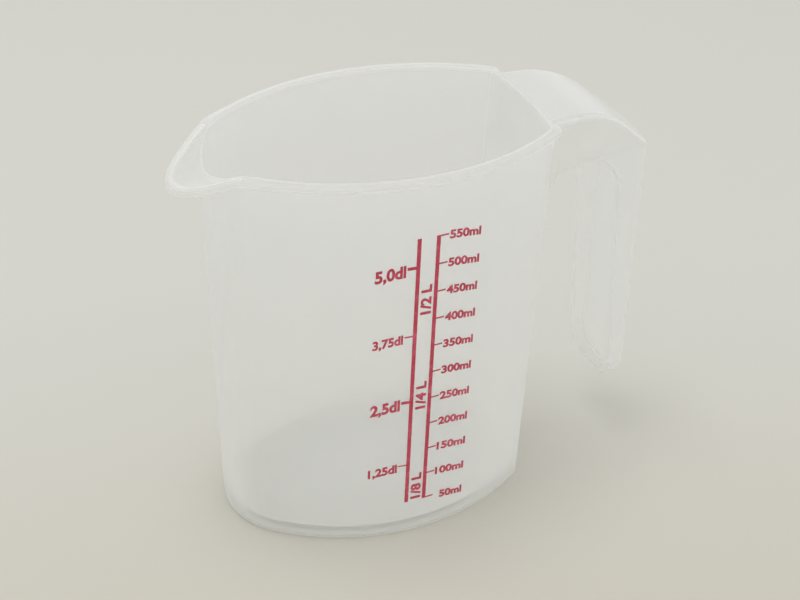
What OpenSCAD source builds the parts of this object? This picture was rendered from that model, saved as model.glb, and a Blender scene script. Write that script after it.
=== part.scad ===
// Measuring jug, 550 ml, with a pouring spout and an open channel handle.
// The jug is one thin moulding with a printed scale. Each zone of the moulding is a solid of its own.
// +Z is up, -X points to the spout, +X to the handle, and the scale faces -Y.
// The origin lies on the table, below the middle of the whole length.

/* [Vessel] */
// Height of the rim above the table
rim_height = 130; // [110:1:160]
// Outside width of the vessel at the rim
vessel_width = 69; // [62:1:80]
// From the widest section to the nose, at the rim
nose_reach = 56.7; // [50:0.1:66]
// From the widest section to the middle of the handle end, at the rim
end_reach = 46.4; // [41:0.1:51]
// Radius of the slightly rounded handle end
end_radius = 125; // [90:1:300]
// Radius of the nose in plan, at the rim
nose_radius = 23.4; // [18:0.1:27]
// Radius of the two corners at the handle end
end_corner_radius = 4; // [3:0.5:8]
// Thickness of the side wall
wall = 1.3; // [1:0.1:2]
// Thickness of the floor
floor_thickness = 2; // [1.5:0.1:3]
// How much the nose draws in from the rim to the table
nose_inset = 4.9; // [1:0.1:7]
// How much the handle end draws in from the rim to the table
end_inset = 2.5; // [0.5:0.1:5]
// How much each side draws in from the rim to the table
side_inset = 0.6; // [0:0.1:3]

/* [Foot] */
// Height of the hollow under the floor
foot_height = 1.2; // [0.5:0.1:3]
// Width of the flat ring that stands on the table
foot_width = 2.5; // [1.5:0.1:5]
// Radius of the outer edge of the foot
foot_edge_radius = 2; // [1:0.1:4]
// Radius between the floor and the wall inside
floor_edge_radius = 3; // [1:0.1:6]

/* [Rim] */
// How far the rim flange stands out from the wall
rim_projection = 1.9; // [1:0.1:3]
// Thickness of the rim flange
rim_depth = 2; // [1.2:0.1:3]
// Radius of the flange edges
rim_edge_radius = 0.7; // [0.3:0.1:1]

/* [Spout] */
// Width of the spout where it leaves the rim
spout_width = 32.5; // [24:0.5:36]
// How far the spout reaches out from its corners
spout_reach = 14.9; // [10:0.1:22]
// How far the tip of the spout dips below the rim
spout_dip = 8; // [4:0.5:14]
// How far the throat of the spout dips below the rim
throat_dip = 4.5; // [1:0.5:8]
// Thickness of the spout
spout_thickness = 1.8; // [1.2:0.1:2.5]
// Thickness of the spout where it starts at its corners
spout_start_thickness = 0.5; // [0.3:0.1:1]

/* [Handle] */
// From each corner of the handle end in to the side of the handle
root_step = 0.7; // [0.5:0.1:3]
// Width of the grip
grip_width = 27; // [22:0.5:32]
// Thickness of the handle
handle_wall = 2; // [1.5:0.1:3]
// Radius of the long outer edges of the handle
handle_edge_radius = 3; // [2.2:0.1:4]
// How much the top and back of the handle are crowned
handle_crown = 0.5; // [0:0.1:1]
// From the widest section to the back of the handle
handle_reach = 84.4; // [76:0.1:94]
// How much the back of the handle leans out from the rim level to its bottom
handle_lean = 1.8; // [0:0.1:4]
// Length of the level part of the bridge
bridge_level = 6; // [3:0.1:13]
// Radius of the bend from the level part to the slope
bridge_bend_radius = 31; // [10:1:34]
// Slope of the bridge
bridge_slope = 40; // [25:1:45]
// Radius of the shoulder between the slope and the back
shoulder_radius = 4; // [3:0.5:7]
// Radius of the arch over the fingers
arch_radius = 15.5; // [13:0.5:18]
// From the vessel to the middle of the arch, at rim level
arch_offset = 11.6; // [9:0.1:12.5]
// From the rim down to the centre of the arch
arch_drop = 32.5; // [28:0.5:40]
// Depth of the grip channel at its bottom
grip_end_depth = 5.7; // [3.5:0.1:8]
// Height of the bottom of the grip above the table
grip_bottom = 22; // [8:1:40]
// Radius of the bottom corners of the grip
grip_end_radius = 12; // [6:0.5:13]

/* [Scale] */
// From the widest section to the middle of the millilitre bar
ml_bar_place = 1.4; // [-2:0.1:6]
// Distance between the two bars
bar_spacing = 5.9; // [5:0.1:9]
// Width of each bar
bar_width = 1.2; // [0.8:0.1:2]
// Length of a graduation line
tick_length = 2.6; // [1.5:0.1:4]
// Height of a fine graduation line
fine_tick = 0.45; // [0.3:0.05:0.8]
// Height of a bold graduation line
bold_tick = 1; // [0.6:0.05:1.4]
// Thickness of the ink
ink_thickness = 0.1; // [0.05:0.01:0.2]
// Number of millilitre lines that make one litre: 20 of them stand 50 ml apart
ml_litre_count = 20; // [10:10:40]
// Number of millilitre lines
ml_line_count = 11; // [6:1:12]
// Number of decilitre lines that make one litre: 8 of them stand 1.25 dl apart
dl_litre_count = 8; // [4:4:8]
// Number of decilitre lines
dl_line_count = 4; // [2:1:4]

/* [Hidden] */

// Edge of the cube that holds one litre
litre_edge = 100;
litre = pow(litre_edge, 3);
moulding_colour = [0.90, 0.92, 0.93, 0.75];
ink_colour = [0.72, 0.13, 0.20];

nose_steps = 32;
shoulder_steps = 4;
side_steps = 20;
corner_steps = 5;
end_shares = [-1, -0.5, 0, 0.5, 1];
edge_steps = 4;
bend_steps = 6;
ink_steps = 4;
search_steps = 24;
ink_clearance = 0.03;
least_corner_radius = 0.3;
spout_start_share = 0.03;
least_shoulder_angle = 1;
corner_limit_share = 0.8;

half_width = vessel_width / 2;
// Radius of the two long sides, tangent to the nose
side_radius = (pow(nose_reach - nose_radius, 2) + pow(half_width, 2) - pow(nose_radius, 2))
    / (2 * (half_width - nose_radius));
side_offset = side_radius - half_width;
nose_centre = nose_radius - nose_reach;
end_centre = end_reach - end_radius;
root_half = end_corner_y(0) - root_step;
root_flat = root_half - handle_edge_radius;
nose_angle = atan2(side_offset, -nose_centre);
floor_level = foot_height + floor_thickness;
// Half of the angle that the spout takes of the nose
spout_angle = min(asin(min(spout_width / (2 * nose_radius), 1)), nose_angle - least_shoulder_angle);
spout_corner_x = nose_centre - nose_radius * cos(spout_angle);
spout_tip = spout_corner_x - spout_reach - rim_projection;
origin_shift = -(handle_reach + spout_tip) / 2;

// How much of each reach is left at height z
function nose_scale(z) = 1 - nose_inset / nose_reach * (1 - z / rim_height);
function end_scale(z) = 1 - end_inset / end_reach * (1 - z / rim_height);
function side_scale(z) = 1 - side_inset / half_width * (1 - z / rim_height);

// Points of an arc, without its last point
function arc(centre, radius, from, to, steps) =
    [for (i = [0 : steps - 1]) centre + radius * [cos(from + (to - from) * i / steps),
        sin(from + (to - from) * i / steps)]];

// Radius of the corners at the handle end, and the centre of the near one, which touches side and end
function corner_radius(inset) = max(end_corner_radius - inset, least_corner_radius);
function corner_centre(inset) =
    let (
        from_side = side_radius - inset - corner_radius(inset),
        from_end = end_radius - inset - corner_radius(inset),
        apart = norm([end_centre, side_offset]),
        towards = [end_centre, -side_offset] / apart,
        along = (pow(from_side, 2) - pow(from_end, 2) + pow(apart, 2)) / (2 * apart)
    )
    [0, side_offset] + along * towards + sqrt(pow(from_side, 2) - pow(along, 2)) * [-towards.y, towards.x];
function end_corner_turn(inset) = atan2(-corner_centre(inset).y, corner_centre(inset).x - end_centre);
function end_corner_y(inset) = (end_radius - inset) * sin(end_corner_turn(inset));
function end_x(y, inset) = end_centre + sqrt(pow(end_radius - inset, 2) - pow(y, 2));

// Plan of the vessel at the rim, drawn in by inset, counterclockwise from the far spout corner
function plan(inset) =
    let (
        corner = corner_radius(inset),
        centre = corner_centre(inset),
        side_turn = atan2(side_offset - centre.y, centre.x),
        end_turn = end_corner_turn(inset),
        end_y = end_corner_y(inset),
        flat = root_flat * end_y / end_corner_y(0)
    )
    concat(
        arc([nose_centre, 0], nose_radius - inset, 180 - spout_angle, 180 + spout_angle, nose_steps),
        arc([nose_centre, 0], nose_radius - inset, 180 + spout_angle, 180 + nose_angle, shoulder_steps),
        arc([0, side_offset], side_radius - inset, 180 + nose_angle, 360 - side_turn, side_steps),
        arc(centre, corner, -side_turn, -end_turn, corner_steps),
        [[end_x(end_y, inset), -end_y]],
        [for (share = end_shares) [end_x(flat * share, inset), flat * share]],
        arc([centre.x, -centre.y], corner, end_turn, side_turn, corner_steps),
        arc([0, -side_offset], side_radius - inset, side_turn, 180 - nose_angle, side_steps),
        arc([nose_centre, 0], nose_radius - inset, 180 - nose_angle, 180 - spout_angle, shoulder_steps)
    );

// Outside of the end wall, as its plain faces run
function end_wall_x(y) =
    let (
        ys = concat([-end_corner_y(0)], root_flat * end_shares, [end_corner_y(0)]),
        xs = [for (v = ys) end_x(v, 0)]
    )
    lookup(y, [for (i = [0 : len(ys) - 1]) [ys[i], xs[i]]]);

// A point of the plan, drawn in by the draft at height z
function at_height(p, z) = [p.x * (p.x < 0 ? nose_scale(z) : end_scale(z)), p.y * side_scale(z), z];
function ring(inset, z) = [for (p = plan(inset)) at_height(p, z)];

// How far along the spout a station of its arc lies: 0 at its corners and 1 at its tip
function spout_share(i) =
    let (angle = spout_angle * (1 - 2 * i / nose_steps))
    max(0, 1 - pow(sin(angle) / sin(spout_angle), 2));
function throat_z(i) = rim_height - throat_dip * spout_share(i);
function spout_depth(i) =
    spout_start_thickness + (spout_thickness - spout_start_thickness) * sqrt(spout_share(i));
function wall_top(i) = i <= nose_steps ? throat_z(i) - spout_depth(i) : rim_height;

// Edge of the spout, before the flange is added
function lip_point(i) =
    let (
        share = spout_start_share + (1 - spout_start_share) * spout_share(i),
        wall_y = nose_radius * sin(spout_angle * (1 - 2 * i / nose_steps))
    )
    [spout_corner_x - spout_reach * share, wall_y, rim_height - spout_dip * spout_share(i)];

// Top edge of the wall, which dips at the spout
function top_ring(inset) =
    let (points = plan(inset))
    [for (i = [0 : len(points) - 1]) at_height(points[i], wall_top(i))];

// Triangles of the skin between closed rings, with flat ends
function skin_faces(rings, count) = concat(
    [[for (j = [count - 1 : -1 : 0]) j]],
    [for (i = [0 : rings - 2], j = [0 : count - 1], half = [0, 1])
        let (a = i * count + j, b = i * count + (j + 1) % count)
        half == 0 ? [a, b, b + count] : [a, b + count, a + count]],
    [[for (j = [0 : count - 1]) (rings - 1) * count + j]]
);

module skin(rings) {
    count = len(rings[0]);
    polyhedron([for (points = rings, p = points) p], skin_faces(len(rings), count), convexity = 8);
}

module in_place() {
    translate([origin_shift, 0, 0]) children();
}

// Side wall, floor and foot
module vessel() {
    foot_inset = foot_edge_radius + foot_width;
    color(moulding_colour) in_place()
        skin(concat(
            [ring(foot_inset + foot_height, foot_height), ring(foot_inset, 0)],
            [for (k = [0 : edge_steps])
                let (turn = 90 * k / edge_steps)
                ring(foot_edge_radius * (1 - sin(turn)), foot_edge_radius * (1 - cos(turn)))],
            [top_ring(0), top_ring(wall)],
            [for (k = [0 : edge_steps])
                let (turn = 90 * k / edge_steps)
                ring(wall + floor_edge_radius * (1 - cos(turn)),
                    floor_level + floor_edge_radius * (1 - sin(turn)))]
        ));
}

// Pouring spout: a beak that leaves the throat and dips to its lip
module pouring_spout() {
    outer = plan(0);
    inner = plan(wall);
    color(moulding_colour) in_place()
        skin([for (i = [0 : nose_steps])
            let (
                lip = lip_point(i),
                depth = spout_depth(i),
                low = throat_z(i) - depth,
                wall_outside = at_height(outer[i], low),
                wall_inside = at_height(inner[i], low)
            )
            [wall_inside, wall_inside + [0, 0, depth], lip, lip - [0, 0, depth], wall_outside]]);
}

// Path of the flange: near root of the handle, near side, lip, far side and far root
function flange_path() =
    let (
        points = plan(0),
        count = len(points),
        first_side = nose_steps + 1,
        end_corner = nose_steps + shoulder_steps + side_steps + corner_steps,
        far_corner = end_corner + len(end_shares) + 1,
        root = [end_wall_x(root_half), root_half]
    )
    concat(
        [[root.x, root.y, rim_height]],
        [for (i = [far_corner : count - 1]) [points[i].x, points[i].y, rim_height]],
        [for (i = [0 : nose_steps]) lip_point(i)],
        [for (i = [first_side : end_corner]) [points[i].x, points[i].y, rim_height]],
        [[root.x, -root.y, rim_height]]
    );

// Outward direction at a corner of an open path, stretched so that the flange keeps its width.
// Both ends run along the side of the handle.
function flange_normal(path, i) =
    i == 0 || i == len(path) - 1 ? [1, 0]
    : let (
        a = path[i] - path[i - 1],
        b = path[i + 1] - path[i],
        na = [a.y, -a.x] / norm([a.x, a.y]),
        nb = [b.y, -b.x] / norm([b.x, b.y]),
        sum = na + nb
    )
    2 * sum / (sum * sum);

// Rim flange with rounded edges
module rim_flange() {
    path = flange_path();
    edge = rim_edge_radius;
    profile = concat(
        [[0, 0]],
        [for (k = [0 : edge_steps])
            let (turn = 90 * k / edge_steps)
            [rim_projection - edge + edge * sin(turn), edge * cos(turn) - edge]],
        [for (k = [0 : edge_steps])
            let (turn = 90 * k / edge_steps)
            [rim_projection - edge + edge * cos(turn), edge - rim_depth - edge * sin(turn)]],
        [[0, -rim_depth]]
    );
    color(moulding_colour) in_place()
        skin([for (i = [0 : len(path) - 1])
            let (normal = flange_normal(path, i))
            [for (p = profile) path[i] + [normal.x * p.x, normal.y * p.x, p.y]]]);
}

// Handle, drawn in its side view: a is along X and b is height
bend_start = [end_reach + bridge_level, rim_height];
bend_end = bend_start + bridge_bend_radius * [sin(bridge_slope), cos(bridge_slope) - 1];
grip_corner = min(grip_end_radius, grip_width / 2 * corner_limit_share);
grip_end_level = grip_bottom + grip_corner;
lean_rate = handle_lean / (rim_height - grip_end_level);
function back_x(z) = handle_reach - handle_crown - lean_rate * (z - grip_end_level);
slope_run = (back_x(bend_end.y) - bend_end.x) / (cos(bridge_slope) - lean_rate * sin(bridge_slope));
shoulder_corner = bend_end + slope_run * [cos(bridge_slope), -sin(bridge_slope)];
shoulder_turn = 90 - atan(lean_rate) - bridge_slope;
shoulder_tangent = shoulder_radius * tan(shoulder_turn / 2);
shoulder_start = shoulder_corner - shoulder_tangent * [cos(bridge_slope), -sin(bridge_slope)];
shoulder_centre = shoulder_start - shoulder_radius * [sin(bridge_slope), cos(bridge_slope)];
shoulder_end = shoulder_centre + shoulder_radius
    * [sin(bridge_slope + shoulder_turn), cos(bridge_slope + shoulder_turn)];

arch_centre = [end_reach + arch_offset, rim_height - arch_drop];
grip_edge_top = arch_centre.x + arch_radius;
grip_edge_bottom = handle_reach - grip_end_depth;
function grip_edge_x(z) = grip_edge_bottom
    + (grip_edge_top - grip_edge_bottom) * (z - grip_bottom) / (arch_centre.y - grip_bottom);
arch_start_rise = sqrt(pow(arch_radius, 2) - pow(arch_offset, 2));
arch_start_angle = 90 + atan(arch_offset / arch_start_rise);

// Stations of the bridge: point on the outside and its outward direction
bridge_stations = concat(
    [[[end_reach, rim_height], 0]],
    [for (k = [0 : bend_steps])
        let (turn = bridge_slope * k / bend_steps)
        [bend_start + bridge_bend_radius * [sin(turn), cos(turn) - 1], turn]],
    [for (k = [0 : bend_steps])
        let (turn = bridge_slope + shoulder_turn * k / bend_steps)
        [shoulder_centre + shoulder_radius * [sin(turn), cos(turn)], turn]]
);
bridge_count = len(bridge_stations);

// Half the width of the handle: it goes over from the root to the grip along the bridge
function handle_half(x) =
    let (
        run = min(1, max(0, (x - end_reach) / (shoulder_end.x - end_reach))),
        ease = run * run * (3 - 2 * run)
    )
    root_half + (grip_width / 2 - root_half) * ease;

// Cross-section of the channel: from the near free edge over the back to the far free edge
function channel_section(back, free, half, radius, crown) =
    let (
        depth = norm([back.x - free.x, back.y - free.y]),
        edge = min(radius, half * corner_limit_share, depth * corner_limit_share),
        flat = half - edge,
        profile = concat(
            [[0, -half]],
            [for (k = [0 : edge_steps])
                let (turn = 90 * k / edge_steps)
                [depth - edge + edge * sin(turn), -flat - edge * cos(turn)]],
            [for (y = [-flat / 2, 0, flat / 2]) [depth + crown * (1 - pow(y / flat, 2)), y]],
            [for (k = [0 : edge_steps])
                let (turn = 90 * k / edge_steps)
                [depth - edge + edge * cos(turn), flat + edge * sin(turn)]],
            [[0, half]]
        )
    )
    [for (p = profile)
        let (share = p.x / depth)
        [free.x + (back.x - free.x) * share, p.y, free.y + (back.y - free.y) * share]];

// Shell of a channel from its outer and inner sections, with open or closed far end
module channel(outer, inner, closed_end) {
    stations = len(outer);
    count = len(outer[0]);
    base = stations * count;
    last = (stations - 1) * count;
    function quad(a, b, c, d) = [[a, b, c], [a, c, d]];
    faces = concat(
        [for (i = [0 : stations - 2], j = [0 : count - 2])
            let (a = i * count + j)
            each quad(a, a + 1, a + 1 + count, a + count)],
        [for (i = [0 : stations - 2], j = [0 : count - 2])
            let (a = base + i * count + j)
            each quad(a, a + count, a + 1 + count, a + 1)],
        [for (i = [0 : stations - 2])
            let (a = i * count)
            each quad(a, a + count, base + a + count, base + a)],
        [for (i = [0 : stations - 2])
            let (a = i * count + count - 1)
            each quad(a, base + a, base + a + count, a + count)],
        [for (j = [0 : count - 2]) each quad(j, base + j, base + j + 1, j + 1)],
        closed_end
            ? concat(
                [[for (j = [0 : count - 1]) last + j]],
                [[for (j = [count - 1 : -1 : 0]) base + last + j]],
                quad(last, last + count - 1, base + last + count - 1, base + last))
            : [for (j = [0 : count - 2])
                each quad(last + j, last + j + 1, base + last + j + 1, base + last + j)]
    );
    polyhedron([for (points = concat(outer, inner), p = points) p], faces, convexity = 8);
}

// Point of the end wall, where the bridge leaves it
function on_end_wall(y, z) = [end_wall_x(y) * end_scale(z), y * side_scale(z), z];

// Sections of the bridge, drawn in by inset
function bridge_sections(inset) =
    [for (i = [0 : bridge_count - 1])
        let (
            outside = bridge_stations[i][0],
            turn = bridge_stations[i][1],
            share = i / (bridge_count - 1),
            angle = arch_start_angle * (1 - share),
            free = arch_centre + arch_radius * [cos(angle), sin(angle)],
            back = outside - inset * [sin(turn), cos(turn)],
            crown = handle_crown * min(1, turn / bridge_slope),
            section = channel_section(back, free, handle_half(outside.x) - inset,
                handle_edge_radius - inset, crown)
        )
        i == 0 ? [for (p = section) on_end_wall(p.y, p.z)] : section];

// Bridge from the vessel over the fingers to the shoulder
module handle_bridge() {
    color(moulding_colour) in_place()
        channel(bridge_sections(0), bridge_sections(handle_wall), false);
}

// Sections of the grip, drawn in by inset
function grip_sections(inset) =
    let (
        half = grip_width / 2,
        flat = half - grip_corner,
        end_radius = grip_corner - inset,
        shoulder_turned = bridge_slope + shoulder_turn,
        top_back = shoulder_end - inset * [sin(shoulder_turned), cos(shoulder_turned)]
    )
    concat(
        [channel_section(top_back, [grip_edge_top, arch_centre.y], half - inset,
            handle_edge_radius - inset, handle_crown)],
        [for (k = [0 : 2 * edge_steps])
            let (
                turn = 90 * k / (2 * edge_steps),
                z = grip_end_level - end_radius * sin(turn),
                run = (flat + end_radius * cos(turn)) / (flat + end_radius)
            )
            channel_section([back_x(z) - inset, z], [grip_edge_x(z), z],
                flat + end_radius * cos(turn), handle_edge_radius - inset, handle_crown * run)]
    );

// Grip: a channel that is open towards the fingers and rounded at its bottom
module handle_grip() {
    color(moulding_colour) in_place()
        channel(grip_sections(0), grip_sections(handle_wall), true);
}

// Area inside the wall at height z, and the volume below it
function turned_sum(points) =
    [for (i = 0, sum = 0; i < len(points);
        sum = sum + cross([points[i].x, points[i].y],
            [points[(i + 1) % len(points)].x, points[(i + 1) % len(points)].y]), i = i + 1) sum];
function area_inside(z) =
    let (points = ring(wall, z), sums = turned_sum(points), last = len(points) - 1)
    (sums[last] + cross([points[last].x, points[last].y], [points[0].x, points[0].y])) / 2;
function volume_below(z) =
    (z - floor_level) / 6
    * (area_inside(floor_level) + 4 * area_inside((z + floor_level) / 2) + area_inside(z));
function level_of(volume, low, high, steps) =
    let (middle = (low + high) / 2)
    steps == 0 ? middle
    : volume_below(middle) < volume ? level_of(volume, middle, high, steps - 1)
    : level_of(volume, low, middle, steps - 1);
function level(volume) = level_of(volume, floor_level, rim_height, search_steps);

// Outside of the near wall
function near_wall(x, z, out) =
    let (rim_x = x / (x < 0 ? nose_scale(z) : end_scale(z)))
    [x, -(sqrt(pow(side_radius, 2) - pow(rim_x, 2)) - side_offset) * side_scale(z) - out, z];

// Patch of ink on the near wall, between two places and two heights
module ink_patch(from_x, to_x, from_z, to_z) {
    skin([for (i = [0 : ink_steps])
        let (x = from_x + (to_x - from_x) * i / ink_steps)
        [near_wall(x, from_z, ink_clearance), near_wall(x, to_z, ink_clearance),
            near_wall(x, to_z, ink_clearance + ink_thickness),
            near_wall(x, from_z, ink_clearance + ink_thickness)]]);
}

// The scale stops where the next line would reach the flange
scale_room = volume_below(rim_height - rim_depth - bold_tick) / litre;
ml_last = min(ml_line_count, floor(scale_room * ml_litre_count));
dl_last = min(dl_line_count, floor(scale_room * dl_litre_count));
dl_bar_place = ml_bar_place - bar_spacing;
scale_low = level(litre / ml_litre_count) - fine_tick / 2;
scale_high = level(litre / ml_litre_count * ml_last) + fine_tick / 2;

// Two upright bars of the printed scale
module scale_bars() {
    color(ink_colour) in_place()
        for (place = [ml_bar_place, dl_bar_place])
            ink_patch(place - bar_width / 2, place + bar_width / 2, scale_low, scale_high);
}

// Line at a volume, from one side of a bar outwards
module tick(from_x, to_x, volume, height) {
    z = level(volume);
    ink_patch(from_x, to_x, z - height / 2, z + height / 2);
}

// Lines on the right of the millilitre bar
module millilitre_lines() {
    start = ml_bar_place + bar_width / 2;
    color(ink_colour) in_place()
        for (i = [1 : ml_last])
            tick(start, start + tick_length, litre / ml_litre_count * i, fine_tick);
}

// Lines on the left of the decilitre bar, every other one bold
module decilitre_lines() {
    start = dl_bar_place - bar_width / 2;
    color(ink_colour) in_place()
        for (i = [1 : dl_last])
            tick(start - tick_length, start, litre / dl_litre_count * i,
                i % 2 == 0 ? bold_tick : fine_tick);
}

vessel();
rim_flange();
pouring_spout();
handle_bridge();
handle_grip();
scale_bars();
millilitre_lines();
decilitre_lines();
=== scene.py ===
"""A 550 ml measuring jug: one clouded moulding with a printed scale, standing on pale paper."""
import logging
import math
from collections.abc import Callable, Sequence
from dataclasses import dataclass, field
from enum import Enum
from functools import cached_property

import bmesh
import bpy
from mathutils import Matrix, Vector
from mathutils.kdtree import KDTree


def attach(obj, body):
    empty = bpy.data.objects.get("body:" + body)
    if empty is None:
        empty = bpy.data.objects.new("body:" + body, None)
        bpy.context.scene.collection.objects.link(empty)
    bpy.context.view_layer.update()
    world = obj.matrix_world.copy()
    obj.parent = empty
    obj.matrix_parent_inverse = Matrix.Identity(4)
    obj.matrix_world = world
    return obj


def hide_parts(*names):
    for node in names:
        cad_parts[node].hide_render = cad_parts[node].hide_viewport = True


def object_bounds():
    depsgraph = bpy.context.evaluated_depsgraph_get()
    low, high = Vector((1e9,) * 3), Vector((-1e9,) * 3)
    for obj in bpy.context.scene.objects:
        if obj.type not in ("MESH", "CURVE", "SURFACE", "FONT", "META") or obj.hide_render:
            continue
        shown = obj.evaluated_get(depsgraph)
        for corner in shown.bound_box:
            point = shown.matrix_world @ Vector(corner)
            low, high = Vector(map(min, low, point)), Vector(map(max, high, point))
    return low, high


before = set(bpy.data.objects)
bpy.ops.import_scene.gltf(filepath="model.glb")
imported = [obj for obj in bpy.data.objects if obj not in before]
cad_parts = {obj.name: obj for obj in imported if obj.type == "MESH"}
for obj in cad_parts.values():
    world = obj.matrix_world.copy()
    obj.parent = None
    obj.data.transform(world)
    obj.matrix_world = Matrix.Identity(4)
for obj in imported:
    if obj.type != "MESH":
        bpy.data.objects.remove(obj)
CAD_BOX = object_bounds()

log = logging.getLogger("measuring_jug")

MM = 0.001
MERGE_DISTANCE = 1e-6
ARC_LIMIT = 0.48
SORT_SLANT = (1.0, 0.618, 0.414)
PAINTED_LIGHT_ATTRIBUTE = "painted_light"
MILLILITRE_STEP = 50
DECILITRES = ("1,25dl", "2,5dl", "3,75dl", "5,0dl")
MOULDING_NODES = ("vessel", "rim_flange", "pouring_spout", "handle_bridge", "handle_grip")
INK_NODES = ("scale_bars", "millilitre_lines", "decilitre_lines")


class Zone(Enum):
    """Stretches of the vessel's plan, counterclockwise from the far corner of the spout."""

    SPOUT = "spout"
    NEAR_SHOULDER = "near shoulder"
    NEAR_SIDE = "near side"
    NEAR_CORNER = "near corner"
    END = "end"
    FAR_CORNER = "far corner"
    FAR_SIDE = "far side"
    FAR_SHOULDER = "far shoulder"


MIRRORED = {Zone.FAR_CORNER: Zone.NEAR_CORNER, Zone.FAR_SIDE: Zone.NEAR_SIDE,
            Zone.FAR_SHOULDER: Zone.NEAR_SHOULDER}


def lerp(low: float, high: float, share: float) -> float:
    """Value at a share of the way from low to high."""
    return low + (high - low) * share


def turned(degrees: float) -> tuple[float, float]:
    """Cosine and sine of an angle in degrees."""
    return math.cos(math.radians(degrees)), math.sin(math.radians(degrees))


def rounded(before: Vector, corner: Vector, after: Vector, radius: float, steps: int) -> list[Vector]:
    """Points of an arc that rounds a corner of a profile.

    Args:
        before: The profile's point before the corner.
        corner: The sharp corner.
        after: The profile's point after the corner.
        radius: Radius of the arc, cut down where the profile is too short for it.
        steps: Number of pieces in the arc.

    Returns:
        steps + 1 points, all on the corner where the radius is zero.
    """
    back, on = before - corner, after - corner
    if radius <= 0 or back.length < MERGE_DISTANCE or on.length < MERGE_DISTANCE:
        return [corner.copy() for _ in range(steps + 1)]
    half = back.angle(on) / 2
    reach = min(radius / math.tan(half), ARC_LIMIT * back.length, ARC_LIMIT * on.length)
    start, end = corner + back.normalized() * reach, corner + on.normalized() * reach
    weight = math.sin(half)
    points = []
    for step in range(steps + 1):
        share = step / steps
        a, b, c = (1 - share) ** 2, 2 * share * (1 - share) * weight, share ** 2
        points.append((start * a + corner * b + end * c) / (a + b + c))
    return points


def close_row(points: Sequence[Vector], gap: float = 0.2) -> list[Vector]:
    """Points along a line with no gap between neighbours wider than this.

    Args:
        points: Corners of the line in millimetres.
        gap: Widest distance between two neighbours.

    Returns:
        The corners with points between them.
    """
    found = []
    for a, b in zip(points, points[1:]):
        count = max(1, math.ceil((b - a).length / gap))
        found += [a.lerp(b, i / count) for i in range(count)]
    return found + [points[-1]]


def deselect_all() -> None:
    """Leaves nothing selected, so that an operator acts only on what comes next."""
    if bpy.context.object and bpy.context.object.mode != "OBJECT":
        bpy.ops.object.mode_set(mode="OBJECT")
    bpy.ops.object.select_all(action="DESELECT")


def make_active(piece: bpy.types.Object) -> None:
    """Selects one piece alone and makes it active."""
    deselect_all()
    piece.select_set(True)
    bpy.context.view_layer.objects.active = piece


def merge_and_face_out() -> None:
    """Merges doubles and turns the faces outwards in edit mode, and leaves it."""
    bpy.ops.mesh.select_all(action="SELECT")
    bpy.ops.mesh.remove_doubles(threshold=MERGE_DISTANCE)
    bpy.ops.mesh.normals_make_consistent(inside=False)
    bpy.ops.object.mode_set(mode="OBJECT")


def sort_elements(data: bpy.types.Mesh) -> None:
    """Puts vertices, edges and faces in the same order each run, because later modifiers depend on it.

    Args:
        data: The mesh.
    """
    mesh = bmesh.new()
    mesh.from_mesh(data)
    slant = Vector(SORT_SLANT)
    mesh.verts.sort(key=lambda vertex: vertex.co.dot(slant))
    mesh.verts.index_update()
    count = len(mesh.verts)

    def rank(element: bmesh.types.BMEdge | bmesh.types.BMFace) -> int:
        """One number made of the element's lowest vertices."""
        lowest = sorted(vertex.index for vertex in element.verts)[:3]
        return sum(place * count ** power for power, place in enumerate(reversed(lowest)))

    mesh.edges.sort(key=rank)
    mesh.faces.sort(key=rank)
    mesh.to_mesh(data)
    mesh.free()


def apply_modifier(piece: bpy.types.Object, kind: str, **settings: object) -> None:
    """Adds a modifier with these settings and applies it.

    Args:
        piece: The piece to finish.
        kind: Blender's name of the modifier type.
        settings: Values of the modifier.
    """
    make_active(piece)
    modifier = piece.modifiers.new(kind.title(), kind)
    for name, value in settings.items():
        setattr(modifier, name, value)
    bpy.ops.object.modifier_apply(modifier=modifier.name)


def dress(piece: bpy.types.Object, material: bpy.types.Material) -> None:
    """Makes this the only material of a piece."""
    piece.data.materials.clear()
    piece.data.materials.append(material)


@dataclass(frozen=True)
class Column:
    """One upright line of the vessel: its stretch of the plan and how far along that stretch it stands."""

    zone: Zone
    share: float


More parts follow.
